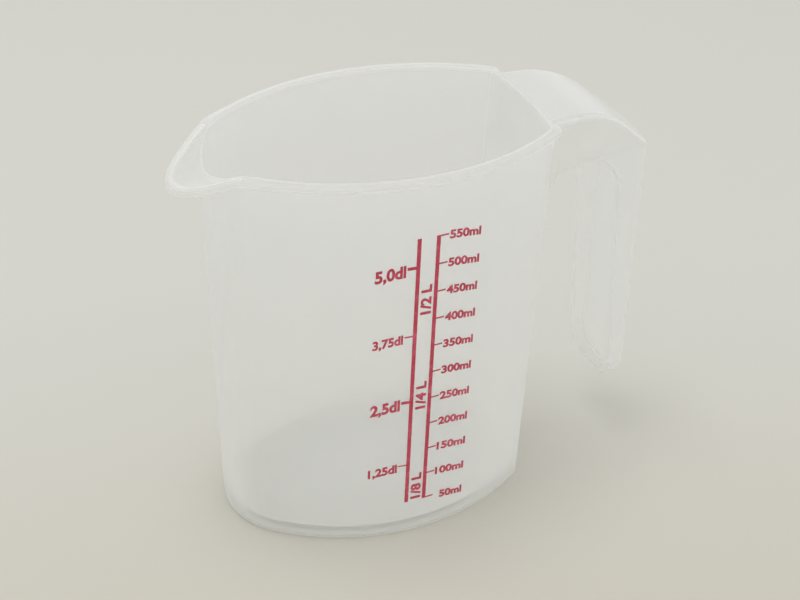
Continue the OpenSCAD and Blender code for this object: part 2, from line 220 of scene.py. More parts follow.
@dataclass(frozen=True)
class JugForm:
    """Driving sizes of the jug in millimetres, and the curves that follow from them."""

    rim_height: float = 130.0
    vessel_width: float = 69.0
    nose_reach: float = 56.7
    end_reach: float = 46.4
    end_radius: float = 125.0
    nose_radius: float = 23.4
    end_corner_radius: float = 4.0
    wall: float = 1.3
    floor_thickness: float = 2.0
    nose_inset: float = 4.9
    end_inset: float = 2.5
    side_inset: float = 0.6
    foot_height: float = 1.2
    foot_width: float = 2.5
    foot_edge_radius: float = 2.0
    floor_edge_radius: float = 3.0
    rim_projection: float = 1.9
    rim_depth: float = 2.0
    rim_edge_radius: float = 0.7
    spout_width: float = 32.5
    spout_reach: float = 14.9
    spout_dip: float = 8.0
    throat_dip: float = 4.5
    root_step: float = 0.7
    grip_width: float = 27.0
    handle_wall: float = 2.0
    handle_edge_radius: float = 2.3
    handle_crown: float = 0.5
    handle_reach: float = 84.4
    handle_lean: float = 1.8
    bridge_level: float = 6.0
    bridge_bend_radius: float = 31.0
    bridge_slope: float = 40.0
    shoulder_radius: float = 4.0
    arch_radius: float = 15.5
    arch_offset: float = 11.6
    arch_drop: float = 32.5
    grip_end_depth: float = 5.7
    grip_bottom: float = 22.0
    grip_corner: float = 10.8
    least_corner_radius: float = 0.3

    @cached_property
    def side_radius(self) -> float:
        """Radius of the two long sides, tangent to the nose."""
        half = self.vessel_width / 2
        straight = self.nose_reach - self.nose_radius
        return (straight ** 2 + half ** 2 - self.nose_radius ** 2) / (2 * (half - self.nose_radius))

    @cached_property
    def side_offset(self) -> float:
        """How far the centre of each side's arc lies beyond the middle plane."""
        return self.side_radius - self.vessel_width / 2

    @cached_property
    def nose_centre(self) -> float:
        """X of the nose's centre."""
        return self.nose_radius - self.nose_reach

    @cached_property
    def end_centre(self) -> float:
        """X of the centre of the slightly rounded handle end."""
        return self.end_reach - self.end_radius

    @cached_property
    def nose_angle(self) -> float:
        """Angle from the nose's middle to where each long side starts."""
        return math.degrees(math.atan2(self.side_offset, -self.nose_centre))

    @cached_property
    def spout_angle(self) -> float:
        """Angle from the nose's middle to each corner of the spout."""
        return math.degrees(math.asin(self.spout_width / (2 * self.nose_radius)))

    @cached_property
    def spout_corner_x(self) -> float:
        """X of both corners of the spout."""
        return self.nose_centre - self.nose_radius * turned(self.spout_angle)[0]

    @cached_property
    def shift(self) -> float:
        """From the widest section to the object's origin, below the middle of its length."""
        return -(self.handle_reach + self.spout_corner_x - self.spout_reach - self.rim_projection) / 2

    @cached_property
    def floor_level(self) -> float:
        """Height of the inside of the floor."""
        return self.foot_height + self.floor_thickness

    @cached_property
    def root_half(self) -> float:
        """Half the width of the handle where it leaves the vessel."""
        return self.end_half(0) - self.root_step

    def corner_circle(self, inset: float) -> tuple[float, float, float]:
        """Near corner of the handle end, drawn in by inset.

        Args:
            inset: How far the plan is drawn in.

        Returns:
            X and Y of its centre, and its radius.
        """
        radius = max(self.end_corner_radius - inset, self.least_corner_radius)
        from_side = self.side_radius - inset - radius
        from_end = self.end_radius - inset - radius
        apart = math.hypot(self.end_centre, self.side_offset)
        towards = (self.end_centre / apart, -self.side_offset / apart)
        along = (from_side ** 2 - from_end ** 2 + apart ** 2) / (2 * apart)
        across = math.sqrt(from_side ** 2 - along ** 2)
        return (along * towards[0] - across * towards[1],
                self.side_offset + along * towards[1] + across * towards[0], radius)

    def corner_turns(self, inset: float) -> tuple[float, float]:
        """Angles at which the corner touches the side and the end."""
        x, y, _ = self.corner_circle(inset)
        return (math.degrees(math.atan2(self.side_offset - y, x)),
                math.degrees(math.atan2(-y, x - self.end_centre)))

    def end_half(self, inset: float) -> float:
        """Half the width of the handle end between its corners."""
        return (self.end_radius - inset) * turned(self.corner_turns(inset)[1])[1]

    def end_x(self, y: float, inset: float) -> float:
        """X of the handle end at a place across it."""
        return self.end_centre + math.sqrt((self.end_radius - inset) ** 2 - y ** 2)

    def plan_point(self, column: Column, inset: float) -> tuple[float, float]:
        """Place of a column in the plan at the rim.

        Args:
            column: The upright line.
            inset: How far the plan is drawn in.

        Returns:
            X and Y from the widest section.
        """
        if column.zone in MIRRORED:
            x, y = self.plan_point(Column(MIRRORED[column.zone], 1 - column.share), inset)
            return x, -y
        if column.zone is Zone.END:
            y = self.end_half(inset) * (2 * column.share - 1)
            return self.end_x(y, inset), y
        if column.zone in (Zone.SPOUT, Zone.NEAR_SHOULDER):
            centre, radius = (self.nose_centre, 0.0), self.nose_radius - inset
            low = -self.spout_angle if column.zone is Zone.SPOUT else self.spout_angle
            high = self.spout_angle if column.zone is Zone.SPOUT else self.nose_angle
            turn = 180 + lerp(low, high, column.share)
        elif column.zone is Zone.NEAR_SIDE:
            centre, radius = (0.0, self.side_offset), self.side_radius - inset
            turn = lerp(180 + self.nose_angle, 360 - self.corner_turns(inset)[0], column.share)
        else:
            x, y, radius = self.corner_circle(inset)
            centre = (x, y)
            side_turn, end_turn = self.corner_turns(inset)
            turn = -lerp(side_turn, end_turn, column.share)
        cosine, sine = turned(turn)
        return centre[0] + radius * cosine, centre[1] + radius * sine

    def reach_left(self, x: float, z: float) -> float:
        """Share of a place along the length that the draft leaves at height z."""
        inset, reach = (self.nose_inset, self.nose_reach) if x < 0 else (self.end_inset, self.end_reach)
        return 1 - inset / reach * (1 - z / self.rim_height)

    def width_left(self, z: float) -> float:
        """Share of the width that the draft leaves at height z."""
        return 1 - self.side_inset / (self.vessel_width / 2) * (1 - z / self.rim_height)

    def wall_point(self, column: Column, inset: float, z: float) -> Vector:
        """Point of a drafted wall in millimetres, in the object's own frame."""
        x, y = self.plan_point(column, inset)
        return Vector((x * self.reach_left(x, z) + self.shift, y * self.width_left(z), z))

    def spout_share(self, column: Column) -> float:
        """How far along the spout a column lies: 0 at its corners and outside it, and 1 at its tip."""
        if column.zone is not Zone.SPOUT:
            return 0.0
        sine = turned(self.spout_angle * (1 - 2 * column.share))[1]
        return max(0.0, 1 - (sine / turned(self.spout_angle)[1]) ** 2)

    def lip_point(self, column: Column) -> Vector:
        """Point of the rim from which the flange stands out."""
        if column.zone is not Zone.SPOUT:
            return self.wall_point(column, 0, self.rim_height)
        share = self.spout_share(column)
        return Vector((self.spout_corner_x - self.spout_reach * share + self.shift,
                       self.nose_radius * turned(self.spout_angle * (1 - 2 * column.share))[1],
                       self.rim_height - self.spout_dip * share))

    def near_wall(self, x: float, z: float, out: float) -> Vector:
        """Point outside the near wall, x along from the widest section, as object millimetres."""
        rim_x = x / self.reach_left(x, z)
        y = (math.sqrt(self.side_radius ** 2 - rim_x ** 2) - self.side_offset) * self.width_left(z)
        return Vector((x + self.shift, -y - out, z))


@dataclass
class Mesher:
    """Sweeps rings or rows of points into a mesh, one extrusion at a time."""

    name: str

    def _set_selected(self, points: Sequence[Vector]) -> None:
        """Moves the selected vertices to these points, by the column that each belongs to."""
        mesh = bmesh.from_edit_mesh(bpy.context.object.data)
        layer = mesh.verts.layers.int["column"]
        for vertex in mesh.verts:
            if vertex.select:
                vertex.co = points[vertex[layer]] * MM
        bmesh.update_edit_mesh(bpy.context.object.data)

    def closed(self, rings: Sequence[Sequence[Vector]]) -> bpy.types.Object:
        """Sweeps a face through closed rings, capped at both ends.

        Args:
            rings: Rings of points in millimetres, the same number in each.

        Returns:
            The piece, with merged doubles and outward faces.
        """
        deselect_all()
        bpy.ops.mesh.primitive_circle_add(vertices=len(rings[0]), radius=MM, fill_type="NGON")
        piece = bpy.context.object
        piece.name = self.name
        bpy.ops.object.mode_set(mode="EDIT")
        mesh = bmesh.from_edit_mesh(piece.data)
        layer = mesh.verts.layers.int.new("column")
        for index, vertex in enumerate(mesh.verts):
            vertex[layer] = index
        bmesh.update_edit_mesh(piece.data)
        bpy.ops.mesh.select_all(action="SELECT")
        self._set_selected(rings[0])
        for ring in rings[1:]:
            bpy.ops.mesh.extrude_region_move()
            self._set_selected(ring)
        merge_and_face_out()
        sort_elements(piece.data)
        return piece

    def open_sheet(self, rows: Sequence[Sequence[Vector]]) -> bpy.types.Object:
        """Sweeps a row of edges through open rows.

        Args:
            rows: Rows of points in millimetres, the same number in each.

        Returns:
            The piece, in edit mode, with its last row selected.
        """
        deselect_all()
        count = len(rows[0])
        bpy.ops.mesh.primitive_grid_add(x_subdivisions=count - 1, y_subdivisions=1, size=MM)
        piece = bpy.context.object
        piece.name = self.name
        bpy.ops.object.mode_set(mode="EDIT")
        bpy.ops.mesh.select_mode(type="VERT")
        mesh = bmesh.from_edit_mesh(piece.data)
        layer = mesh.verts.layers.int.new("column")
        low = min(vertex.co.y for vertex in mesh.verts)
        for lower in (True, False):
            row = sorted((vertex for vertex in mesh.verts if (vertex.co.y < low + MM / 2) is lower),
                         key=lambda vertex: vertex.co.x)
            for index, vertex in enumerate(row):
                vertex[layer] = index
        for vertex in mesh.verts:
            vertex.select = vertex.co.y < low + MM / 2
        mesh.select_flush_mode()
        bmesh.update_edit_mesh(piece.data)
        self._set_selected(rows[0])
        bpy.ops.mesh.select_all(action="INVERT")
        self._set_selected(rows[1])
        for row in rows[2:]:
            bpy.ops.mesh.extrude_region_move()
            self._set_selected(row)
        return piece


@dataclass
class VesselShell:
    """Wall, floor, foot, flange and spout as one skin."""

    form: JugForm
    spout_columns: int = 64
    shoulder_columns: int = 8
    side_columns: int = 60
    corner_columns: int = 12
    wall_rings: int = 8
    rim_steps: int = 4
    floor_steps: int = 6
    recess_steps: int = 2
    support_gap: float = 0.8
    under_radius: tuple[float, float] = (0.5, 2.0)
    under_edge_share: float = 0.4
    crest_radius: float = 1.0
    crest_fall: float = 0.45
    bead_height: float = 0.4
    bead_width: float = 1.6
    bead_start: float = 0.25
    dish_share: float = 0.5
    inner_edge_radius: float = 0.62
    throat_edge_radius: float = 1.3
    shoulder_swell: float = 0.9
    shoulder_spread: float = 5.0
    shoulder_gap: tuple[float, float] = (3.0, 2.0)
    easing_rounds: int = 80
    easing_reach: float = 4.0
    # Painted highlights along the inner rim edge and the flange edge: where they lie and how strong they
    # are.
    inner_highlight_depth: float = 0.5
    inner_highlight: float = 0.6
    outer_highlight_rise: float = 0.3
    outer_highlight: float = 0.7
    foot_inner_radius: float = 0.4
    root_margin: float = 0.015
    flange_fade: float = 1.2
    flange_taper: float = 3.0
    nose_bunching: float = 0.6

    def columns(self) -> list[Column]:
        """Upright lines of the skin, counterclockwise from the far corner of the spout."""
        def bunched(share: float) -> float:
            """Share along the spout, closer together near its tip."""
            return share - self.nose_bunching * math.sin(math.tau * share) / math.tau

        root = self.form.root_half / self.form.end_half(0)
        fade = self.flange_fade / self.form.end_half(0)
        steps = (root + self.root_margin, *(root - fade * step / 4 for step in range(5)),
                 *(step / 4 for step in (3, 2, 1)))
        across = [-1.0, *(-step for step in steps), 0.0, *reversed(steps)]
        found = [Column(Zone.SPOUT, bunched(i / self.spout_columns)) for i in range(self.spout_columns)]
        counts = ((Zone.NEAR_SHOULDER, self.shoulder_columns), (Zone.NEAR_SIDE, self.side_columns),
                  (Zone.NEAR_CORNER, self.corner_columns), (Zone.END, 0),
                  (Zone.FAR_CORNER, self.corner_columns), (Zone.FAR_SIDE, self.side_columns),
                  (Zone.FAR_SHOULDER, self.shoulder_columns))
        for zone, count in counts:
            if zone is Zone.END:
                found += [Column(zone, (1 + place) / 2) for place in across]
            found += [Column(zone, i / count) for i in range(count)]
        return found

    def flange_reach(self, column: Column) -> float:
        """How far the flange stands out at a column: it ends in the side walls of the handle."""
        x, y = self.form.plan_point(column, 0)
        if x < 0:
            return self.form.rim_projection + self._swell(x, y)
        run = (abs(y) - self.form.root_half + self.flange_fade) / (self.flange_fade + self.flange_taper)
        run = min(1.0, max(0.0, run))
        return self.form.rim_projection * run * run * (3 - 2 * run)

    def _swell(self, x: float, y: float) -> float:
        """Extra width of the flange where it fills the corner between the rim and the spout."""
        along, across = self.shoulder_gap
        apart = math.hypot(x - self.form.spout_corner_x - along, abs(y) - self.form.spout_width / 2 - across)
        return self.shoulder_swell * math.exp(-(apart / self.shoulder_spread) ** 2)

    def lips(self) -> list[Vector]:
        """Points of the rim at each column, with the corners between spout and rim eased."""
        form, columns = self.form, self.columns()
        found = [form.lip_point(column) for column in columns]
        corner_x, corner_y = form.spout_corner_x + form.shift, form.spout_width / 2
        apart = [math.hypot(point.x - corner_x, abs(point.y) - corner_y) for point in found]
        for _ in range(self.easing_rounds):
            found = [point.lerp((found[i - 1] + found[(i + 1) % len(found)]) / 2,
                                0.5 * math.exp(-(apart[i] / self.easing_reach) ** 2))
                     if apart[i] < 2 * self.easing_reach else point for i, point in enumerate(found)]
        return found

    def outward(self, lips: Sequence[Vector], index: int) -> Vector:
        """Level direction that points away from the rim, smoothed over the next columns.

        Args:
            lips: The rim's points, counterclockwise.
            index: The column.

        Returns:
            A unit vector.
        """
        reach = 2
        along = lips[(index + reach) % len(lips)] - lips[index - reach]
        return Vector((along.y, -along.x, 0)).normalized()

    def profile(self, column: Column, lip: Vector, out: Vector) -> list[Vector]:
        """Section of the skin at a column, from under the floor over the rim to the inside.

        Args:
            column: The upright line.
            lip: The rim's point there.
            out: Level direction away from the rim.

        Returns:
            Points in millimetres, the same number at each column.
        """
        form = self.form
        share = form.spout_share(column)
        throat = form.rim_height - form.throat_dip * share
        reach = self.flange_reach(column)
        edge = form.rim_edge_radius * reach / form.rim_projection
        side = lip + out * reach
        foot_inset = form.foot_edge_radius + form.foot_width
        outer_low = form.wall_point(column, 0, form.foot_edge_radius * 2)
        under = form.wall_point(column, 0, throat - form.rim_depth)
        inner_top = form.wall_point(column, form.wall, throat)
        inner_low = form.wall_point(column, form.wall, form.floor_level + 2 * form.floor_edge_radius)
        floor_inset = form.wall + 2 * form.floor_edge_radius
        bead = min(1.0, share / self.bead_start)
        bead_reach = lerp(form.wall / 2, self.bead_width, bead) / (lip - inner_top).length
        dish = lip.lerp(inner_top, min(self.dish_share, bead_reach))
        dish -= Vector((0, 0, self.dish_share * self.bead_height * bead))
        crest = lip + Vector((0, 0, self.bead_height * bead))
        corners = (
            (form.wall_point(column, foot_inset + form.foot_height, form.foot_height), 0.0, 0),
            (form.wall_point(column, foot_inset, 0), self.foot_inner_radius, self.recess_steps),
            (form.wall_point(column, 0, 0), form.foot_edge_radius, self.floor_steps),
            (outer_low, 0.0, 0),
            (under, lerp(*self.under_radius, share), self.rim_steps),
            (side - Vector((0, 0, form.rim_depth)), self.under_edge_share * edge, self.rim_steps),
            (side - Vector((0, 0, self.crest_fall)), edge, self.rim_steps),
            (crest, self.crest_radius, self.rim_steps),
            (dish, 0.0, 0),
            (inner_top, lerp(self.inner_edge_radius, self.throat_edge_radius, share), self.rim_steps),
            (inner_low, 0.0, 0),
            (form.wall_point(column, form.wall, form.floor_level), form.floor_edge_radius, self.floor_steps),
            (form.wall_point(column, floor_inset, form.floor_level), 0.0, 0),
        )
        points: list[Vector] = []
        for index, (corner, radius, steps) in enumerate(corners):
            if steps == 0:
                found = [corner]
            else:
                ends = (corners[index - 1][0], corners[index + 1][0])
                before, after = (dish * 2 - corner if end is dish else end for end in ends)
                found = rounded(before, corner, after, radius, steps)
            if corner in (under, inner_low):
                start, end = points[-1], found[0]
                support = self.support_gap / (end - start).length
                rings = (ring / self.wall_rings for ring in range(1, self.wall_rings))
                points += [start.lerp(end, along) for along in (support, *rings, 1 - support)]
            points += found
        return points

    def build(self) -> bpy.types.Object:
        """Models the shell.

        Returns:
            The piece, closed all round.
        """
        columns = self.columns()
        lips = self.lips()
        outs = [self.outward(lips, index) for index in range(len(columns))]
        profiles = [self.profile(column, lips[i], outs[i]) for i, column in enumerate(columns)]
        rings = [list(ring) for ring in zip(*profiles)]
        return Mesher("vessel_shell").closed(rings)

    def highlight_lines(self) -> list[tuple[list[Vector], float]]:
        """Painted highlight lines along the lip, throat and flange edges, as close rows of points in
        millimetres, with their strengths.
        """
        form, columns, lips = self.form, self.columns(), self.lips()
        fall = Vector((0, 0, form.rim_depth - self.outer_highlight_rise))
        inner, outer = [], []
        for index, column in enumerate(columns):
            level = form.rim_height - form.throat_dip * form.spout_share(column) - self.inner_highlight_depth
            inner.append(form.wall_point(column, form.wall, level))
            outer.append(lips[index] + self.outward(lips, index) * self.flange_reach(column) - fall)
        crest = [lip + Vector((0, 0, self.bead_height / 2)) for lip in lips[1:self.spout_columns]]
        return [(close_row(crest), 1.0), (close_row([*inner, inner[0]]), self.inner_highlight),
                (close_row([*outer, outer[0]]), self.outer_highlight)]


@dataclass(frozen=True)
class Station:
    """One cross-section of the handle, seen from the side, with x and z as pairs."""

    back: tuple[float, float]
    turn: float
    free: tuple[float, float]
    half: float
    crown: float


BEND_FROM, BEND_TO, SHOULDER_FROM, BRIDGE_TO = 1, 7, 8, 14


@dataclass
class ChannelHandle:
    """Open channel that leaves the end wall, bends over the fingers and closes at its bottom.

    Places along its bridge are counted from 0 at the root to BRIDGE_TO, where the grip starts.
    """

    form: JugForm
    side_points: int = 7
    edge_points: int = 6
    back_points: int = 9
    root_steps: int = 4
    bend_steps: int = 14
    slope_steps: int = 6
    grip_steps: int = 14
    end_steps: int = 12
    # Number of points along each painted highlight line.
    highlight_steps: int = 56
    root_depth: float = 0.6
    top_gap: float = 0.01
    free_edge_radius: float = 0.5
    free_edge_angle: float = 50.0
    # Painted highlight along both upper edges of the bridge: its strength and inset.
    edge_highlight: float = 0.8
    edge_highlight_inset: float = 0.29

    def __post_init__(self) -> None:
        """Works out the side view of the bridge."""
        form = self.form
        self.end_level = form.grip_bottom + form.grip_corner
        self.lean_rate = form.handle_lean / (form.rim_height - self.end_level)
        cosine, sine = turned(form.bridge_slope)
        self.bend_start = (form.end_reach + form.bridge_level, form.rim_height)
        self.bend_end = self._round_bend(form.bridge_slope)
        run = (self.back_x(self.bend_end[1]) - self.bend_end[0]) / (cosine - self.lean_rate * sine)
        corner = (self.bend_end[0] + run * cosine, self.bend_end[1] - run * sine)
        self.shoulder_turn = 90 - math.degrees(math.atan(self.lean_rate)) - form.bridge_slope
        tangent = form.shoulder_radius * math.tan(math.radians(self.shoulder_turn / 2))
        start = (corner[0] - tangent * cosine, corner[1] + tangent * sine)
        self.shoulder_centre = (start[0] - form.shoulder_radius * sine,
                                start[1] - form.shoulder_radius * cosine)
        self.arch_centre = (form.end_reach + form.arch_offset, form.rim_height - form.arch_drop)
        rise = math.sqrt(form.arch_radius ** 2 - form.arch_offset ** 2)
        self.arch_start = 90 + math.degrees(math.atan(form.arch_offset / rise))
        self.last_turn = form.bridge_slope + self.shoulder_turn
        self.shoulder_end = self._round_shoulder(self.last_turn)

    def back_x(self, z: float) -> float:
        """X of the back of the grip at height z."""
        form = self.form
        return form.handle_reach - form.handle_crown - self.lean_rate * (z - self.end_level)

    def _round_bend(self, turn: float) -> tuple[float, float]:
        """Point of the bend where the outside has turned by this angle."""
        cosine, sine = turned(turn)
        return (self.bend_start[0] + self.form.bridge_bend_radius * sine,
                self.bend_start[1] - self.form.bridge_bend_radius * (1 - cosine))

    def _round_shoulder(self, turn: float) -> tuple[float, float]:
        """Point of the shoulder where the outside has turned by this angle."""
        cosine, sine = turned(turn)
        return (self.shoulder_centre[0] + self.form.shoulder_radius * sine,
                self.shoulder_centre[1] + self.form.shoulder_radius * cosine)

    def _half(self, x: float) -> float:
        """Half the width of the handle, which narrows along the bridge."""
        form = self.form
        run = min(1.0, max(0.0, (x - form.end_reach) / (self.shoulder_end[0] - form.end_reach)))
        return lerp(form.root_half, form.grip_width / 2, run * run * (3 - 2 * run))

    def _bridge_station(self, place: float) -> Station:
        """Section of the bridge.

        Args:
            place: 0 at the root, from BEND_FROM to BEND_TO in the bend, from SHOULDER_FROM in the shoulder.

        Returns:
            The section there.
        """
        form = self.form
        turn = form.bridge_slope
        if place <= BEND_FROM:
            back, turn = (lerp(form.end_reach, self.bend_start[0], place), form.rim_height), 0.0
        elif place <= BEND_TO:
            turn = form.bridge_slope * (place - BEND_FROM) / (BEND_TO - BEND_FROM)
            back = self._round_bend(turn)
        elif place <= SHOULDER_FROM:
            start = self._round_shoulder(turn)
            share = place - BEND_TO
            back = (lerp(self.bend_end[0], start[0], share), lerp(self.bend_end[1], start[1], share))
        else:
            turn += self.shoulder_turn * (place - SHOULDER_FROM) / (BRIDGE_TO - SHOULDER_FROM)
            back = self._round_shoulder(turn)
        cosine, sine = turned(self.arch_start * (1 - place / BRIDGE_TO))
        free = (self.arch_centre[0] + form.arch_radius * cosine,
                self.arch_centre[1] + form.arch_radius * sine)
        crown = form.handle_crown * min(1.0, turn / form.bridge_slope)
        return Station(back, turn, free, self._half(back[0]), crown)

    def _edge_x(self, z: float) -> float:
        """X of the grip's free edge at height z."""
        form = self.form
        low = form.handle_reach - form.grip_end_depth
        high = self.arch_centre[0] + form.arch_radius
        return lerp(low, high, (z - form.grip_bottom) / (self.arch_centre[1] - form.grip_bottom))

    def _row(self, station: Station, down: float = 0.0, flat: float | None = None) -> list[Vector]:
        """Points of one section, from the near free edge over the back to the far one.

        Args:
            station: The section.
            down: How far the section has turned round the bottom of the grip, in degrees.
            flat: Half the straight width of the bottom, only for sections that have turned.

        Returns:
            Points in object millimetres.
        """
        form, edge = self.form, self.form.handle_edge_radius
        cosine, sine = turned(station.turn)
        half_rows: list[tuple[float, float, float]] = []
        for i in range(self.side_points):
            share = i / self.side_points
            top_x, top_z = station.back[0] - edge * sine, station.back[1] - edge * cosine
            half_rows.append((lerp(station.free[0], top_x, share), lerp(station.free[1], top_z, share), 0.0))
        for i in range(self.edge_points + 1):
            round_cosine, round_sine = turned(90 * i / self.edge_points)
            drop = edge * (1 - round_sine)
            half_rows.append((station.back[0] - drop * sine, station.back[1] - drop * cosine,
                              edge * (1 - round_cosine)))
        down_cosine, down_sine = turned(down)

        def placed(x: float, z: float, drawn_in: float, side: float) -> Vector:
            """Point of the section on one side of it."""
            if flat is None:
                return Vector((x + form.shift, side * (station.half - drawn_in), z))
            radius = form.grip_corner - drawn_in
            return Vector((x + form.shift, side * (flat + radius * down_cosine),
                           self.end_level - radius * down_sine))

        near = [placed(*point, -1.0) for point in half_rows]
        far = [placed(*point, 1.0) for point in reversed(half_rows)]
        if down == 90:
            half_count = (self.back_points - 1) // 2
            return near + [near[-1]] * half_count + [far[0]] * half_count + far
        middle = []
        for i in range(1, self.back_points):
            place = 2 * i / self.back_points - 1
            lift = station.crown * (1 - place ** 2)
            point = near[-1].lerp(far[0], i / self.back_points)
            middle.append(point + Vector((lift * sine, 0, lift * cosine)))
        return near + middle + far

    def rows(self) -> list[list[Vector]]:
        """All sections, from inside the end wall to the bottom of the grip."""
        form, top = self.form, self.form.rim_height - self.top_gap
        places = [i / self.root_steps for i in range(self.root_steps)]
        places += [BEND_FROM + (BEND_TO - BEND_FROM) * i / self.bend_steps for i in range(self.bend_steps)]
        places += [BEND_TO + i / self.slope_steps for i in range(self.slope_steps)]
        places += [SHOULDER_FROM + (BRIDGE_TO - SHOULDER_FROM) * i / self.bend_steps
                   for i in range(self.bend_steps + 1)]
        found = [self._row(self._bridge_station(place)) for place in places]
        for point in (point for row in found for point in row):
            point.z = min(point.z, top)
        for point in found[0]:
            reach = form.end_x(point.y, 0) * form.reach_left(1, point.z) - self.root_depth
            point.x, point.y = reach + form.shift, point.y * form.width_left(point.z)
        half = form.grip_width / 2
        for i in range(1, self.grip_steps + 1):
            share = i / self.grip_steps
            back_z = lerp(self.shoulder_end[1], self.end_level, share)
            free_z = lerp(self.arch_centre[1], self.end_level, share)
            found.append(self._row(Station((self.back_x(back_z), back_z), self.last_turn,
                                           (self._edge_x(free_z), free_z), half, form.handle_crown)))
        flat = half - form.grip_corner
        for i in range(1, self.end_steps + 1):
            down = 90 * i / self.end_steps
            cosine, sine = turned(down)
            z = self.end_level - form.grip_corner * sine
            run = (flat + form.grip_corner * cosine) / half
            station = Station((self.back_x(z), z), 90.0, (self._edge_x(z), z), half,
                              form.handle_crown * run)
            found.append(self._row(station, down, flat))
        return found

    def build(self) -> bpy.types.Object:
        """Models the handle.

        Returns:
            The piece, a closed channel of even thickness whose root lies in the end wall.
        """
        rows = self.rows()
        piece = Mesher("channel_handle").open_sheet(rows)
        last = len(rows[0]) - 1
        mesh = bmesh.from_edit_mesh(piece.data)
        layer = mesh.verts.layers.int["column"]
        row = {vertex[layer]: vertex for vertex in mesh.verts if vertex.select}
        for near in range(self.side_points + self.edge_points):
            far = last - near
            mesh.faces.new([row[column] for column in (near, near + 1, far - 1, far)])
        bmesh.update_edit_mesh(piece.data)
        merge_and_face_out()
        sort_elements(piece.data)
        self._face_out(piece)
        apply_modifier(piece, "SOLIDIFY", thickness=self.form.handle_wall * MM, offset=-1.0,
                       use_even_offset=True, use_rim=True)
        apply_modifier(piece, "BEVEL", width=self.free_edge_radius * MM, segments=2,
                       limit_method="ANGLE", angle_limit=math.radians(self.free_edge_angle))
        return piece

    @staticmethod
    def _face_out(piece: bpy.types.Object) -> None:
        """Turns the sheet over if its back looks inwards."""
        back = max(piece.data.polygons, key=lambda face: face.center.x)
        if back.normal.x < 0:
            make_active(piece)
            bpy.ops.object.mode_set(mode="EDIT")
            bpy.ops.mesh.select_all(action="SELECT")
            bpy.ops.mesh.flip_normals()
            bpy.ops.object.mode_set(mode="OBJECT")

    def highlight_lines(self) -> list[tuple[list[Vector], float]]:
        """Painted highlight lines along both upper edges of the bridge, as close rows of points in
        millimetres, with their strength.
        """
        inset = self.form.handle_edge_radius * self.edge_highlight_inset
        found = []
        for side in (-1.0, 1.0):
            row = []
            for step in range(self.highlight_steps + 1):
                station = self._bridge_station(BRIDGE_TO * step / self.highlight_steps)
                cosine, sine = turned(station.turn)
                row.append(Vector((station.back[0] - inset * sine + self.form.shift,
                                   side * (station.half - inset), station.back[1] - inset * cosine)))
            found.append((close_row(row), self.edge_highlight))
        return found


@dataclass(frozen=True)
class NodeSheet:
    """Node tree of a material or world, with short calls to fill it."""

    tree: bpy.types.NodeTree

    @classmethod
    def of_material(cls, name: str) -> "tuple[bpy.types.Material, NodeSheet]":
        """New material and its empty sheet of nodes."""
        material = bpy.data.materials.new(name)
        material.use_nodes = True
        material.node_tree.nodes.clear()
        return material, cls(material.node_tree)

    def add(self, kind: str, **inputs: object) -> bpy.types.Node:
        """Adds a node and fills its inputs.

        Args:
            kind: Blender's name of the node type, without its ShaderNode prefix.
            inputs: Values or sockets by input name, with underscores for spaces.

        Returns:
            The node.
        """
        node = self.tree.nodes.new("ShaderNode" + kind)
        for name, value in inputs.items():
            self.feed(node.inputs[name.replace("_", " ")], value)
        return node

    def feed(self, socket: bpy.types.NodeSocket, value: object) -> None:
        """Links a socket to an input, or writes a plain value into it."""
        if isinstance(value, bpy.types.NodeSocket):
            self.tree.links.new(value, socket)
        else:
            socket.default_value = value

    def math(self, operation: str, *values: object) -> bpy.types.NodeSocket:
        """Result of a Math node."""
        node = self.tree.nodes.new("ShaderNodeMath")
        node.operation = operation
        for socket, value in zip(node.inputs, values):
            self.feed(socket, value)
        return node.outputs[0]

    def mapped(self, value: bpy.types.NodeSocket, source: tuple[float, float],
               target: tuple[float, float]) -> bpy.types.NodeSocket:
        """Result of a smooth Map Range node from one span to another."""
        node = self.tree.nodes.new("ShaderNodeMapRange")
        node.interpolation_type = "SMOOTHSTEP"
        for socket, number in zip(node.inputs, (value, *source, *target)):
            self.feed(socket, number)
        return node.outputs[0]

    def mix_colour(self, share: object, first: object, second: object) -> bpy.types.NodeSocket:
        """Result of a colour Mix node."""
        node = self.tree.nodes.new("ShaderNodeMix")
        node.data_type = "RGBA"
        colours = [socket for socket in node.inputs if socket.type == "RGBA"]
        self.feed(node.inputs[0], share)
        self.feed(colours[0], first)
        self.feed(colours[1], second)
        return next(socket for socket in node.outputs if socket.type == "RGBA")

    def noise(self, place: bpy.types.NodeSocket, scale: float, detail: float = 2.0) -> bpy.types.NodeSocket:
        """Grey value of a Noise texture."""
        return self.add("TexNoise", Vector=place, Scale=scale, Detail=detail).outputs[0]

    def mix_shader(self, share: object, first: bpy.types.Node, second: bpy.types.Node) -> bpy.types.Node:
        """Mix of two shaders."""
        node = self.tree.nodes.new("ShaderNodeMixShader")
        self.feed(node.inputs[0], share)
        self.feed(node.inputs[1], first.outputs[0])
        self.feed(node.inputs[2], second.outputs[0])
        return node

    def finish(self, shader: bpy.types.Node) -> None:
        """Ends the sheet in its output."""
        output = self.tree.nodes.new("ShaderNodeOutputMaterial")
        self.tree.links.new(shader.outputs[0], output.inputs["Surface"])


